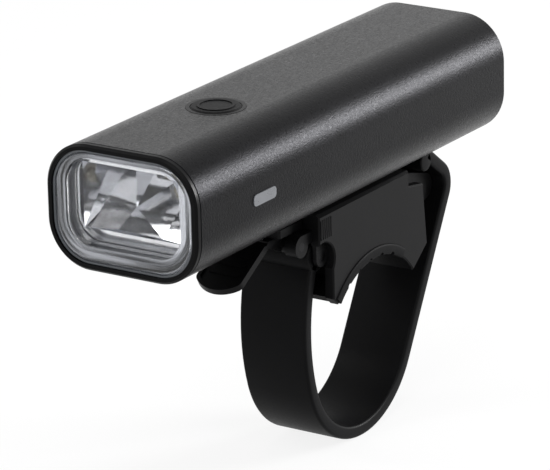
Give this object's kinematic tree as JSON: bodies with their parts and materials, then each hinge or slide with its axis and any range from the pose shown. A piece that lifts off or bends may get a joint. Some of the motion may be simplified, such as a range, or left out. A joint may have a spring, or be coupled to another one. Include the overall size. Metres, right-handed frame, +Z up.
{
  "type": "bicycle headlight",
  "caption": "Slim rechargeable bicycle headlight with a top button, side windows and a quick-release slide bracket strapped to a handlebar by a hooked rubber strap.",
  "frame": {"origin": "centre of the handlebar clamp, on the handlebar's axis and midway across the bracket", "axes": "+X along the handlebar, -Y the way the lamp shines, +Z up"},
  "size_m": [0.0306, 0.1008, 0.0706],
  "materials": {
    "anodised_aluminium": "satin black anodised, fine bead-blast grain",
    "bezel_plastic": "fine matte black moulding",
    "lens_clear": "clear polished polycarbonate",
    "lens_seal_silicone": "translucent pale silicone",
    "reflector_metallised": "vacuum metallised, mirror bright",
    "metal_core_board": "white solder mask on aluminium",
    "led_phosphor": "yellow phosphor under a clear dome",
    "heat_sink_aluminium": "bare milled aluminium",
    "circuit_board": "green solder mask",
    "switch_metal": "stamped steel cover",
    "ring_plastic": "smooth satin black",
    "button_rubber": "matte black silicone",
    "window_translucent": "milky translucent, slightly frosted",
    "indicator_clear": "clear epoxy",
    "cell_wrap": "blue shrink wrap",
    "cradle_plastic": "black nylon",
    "nickel_strip": "nickel plated strip",
    "socket_shell": "drawn stainless shell",
    "seal_silicone": "matte black silicone",
    "black_screw_steel": "black oxide steel",
    "cover_rubber": "matte black rubber",
    "rail_nylon": "black glass-filled nylon",
    "bracket_nylon": "charcoal glass-filled nylon, fine spark texture",
    "pad_rubber": "soft matte black rubber",
    "lever_nylon": "satin black nylon",
    "pin_steel": "black oxide steel, ground",
    "spring_steel": "bright spring steel",
    "strap_silicone": "satin grey-black silicone"
  },
  "bodies": {
    "bracket": {"bracket_body": "bracket_nylon", "saddle_pad": "pad_rubber", "strap": "strap_silicone", "strap_pin": "pin_steel", "lever_pin": "pin_steel", "latch_spring": "spring_steel", "latch_screw": "black_screw_steel"},
    "lamp": {"housing": "anodised_aluminium", "front_bezel": "bezel_plastic", "lens": "lens_clear", "lens_gasket": "lens_seal_silicone", "reflector": "reflector_metallised", "led_board": "metal_core_board", "led_emitter": "led_phosphor", "heat_sink": "heat_sink_aluminium", "driver_board": "circuit_board", "power_switch": "switch_metal", "button_ring": "ring_plastic", "side_windows": "window_translucent", "indicator_leds": "indicator_clear", "battery_cell": "cell_wrap", "battery_cradle": "cradle_plastic", "battery_tabs": "nickel_strip", "charge_board": "circuit_board", "usb_socket": "socket_shell", "rear_cap": "bezel_plastic", "rear_gasket": "seal_silicone", "cap_screws": "black_screw_steel", "mount_rail": "rail_nylon", "rail_screws": "black_screw_steel"},
    "button": {"power_button": "button_rubber"},
    "lever": {"release_lever": "lever_nylon"},
    "cover": {"port_cover": "cover_rubber"}
  },
  "joints": [
    {"name": "lamp_slide", "type": "slide", "parent": "bracket", "child": "lamp", "axis": [0, -1, 0], "range_m": [0, 0.04]},
    {"name": "lever_press", "type": "hinge", "parent": "bracket", "child": "lever", "pos_m": [0, -0.0214, 0.024], "axis": [1, 0, 0], "range_deg": [0, 12], "stiffness_Nm_per_rad": 0.2, "deforming": ["latch_spring"]},
    {"name": "button_press", "type": "slide", "parent": "lamp", "child": "button", "axis": [0, 0, -1], "range_m": [0, 0.0005], "stiffness_N_per_m": 2500},
    {"name": "port_cover_hinge", "type": "hinge", "parent": "lamp", "child": "cover", "pos_m": [0, 0.0358, 0.0382], "axis": [-1, 0, 0], "range_deg": [0, 105]}
  ]
}
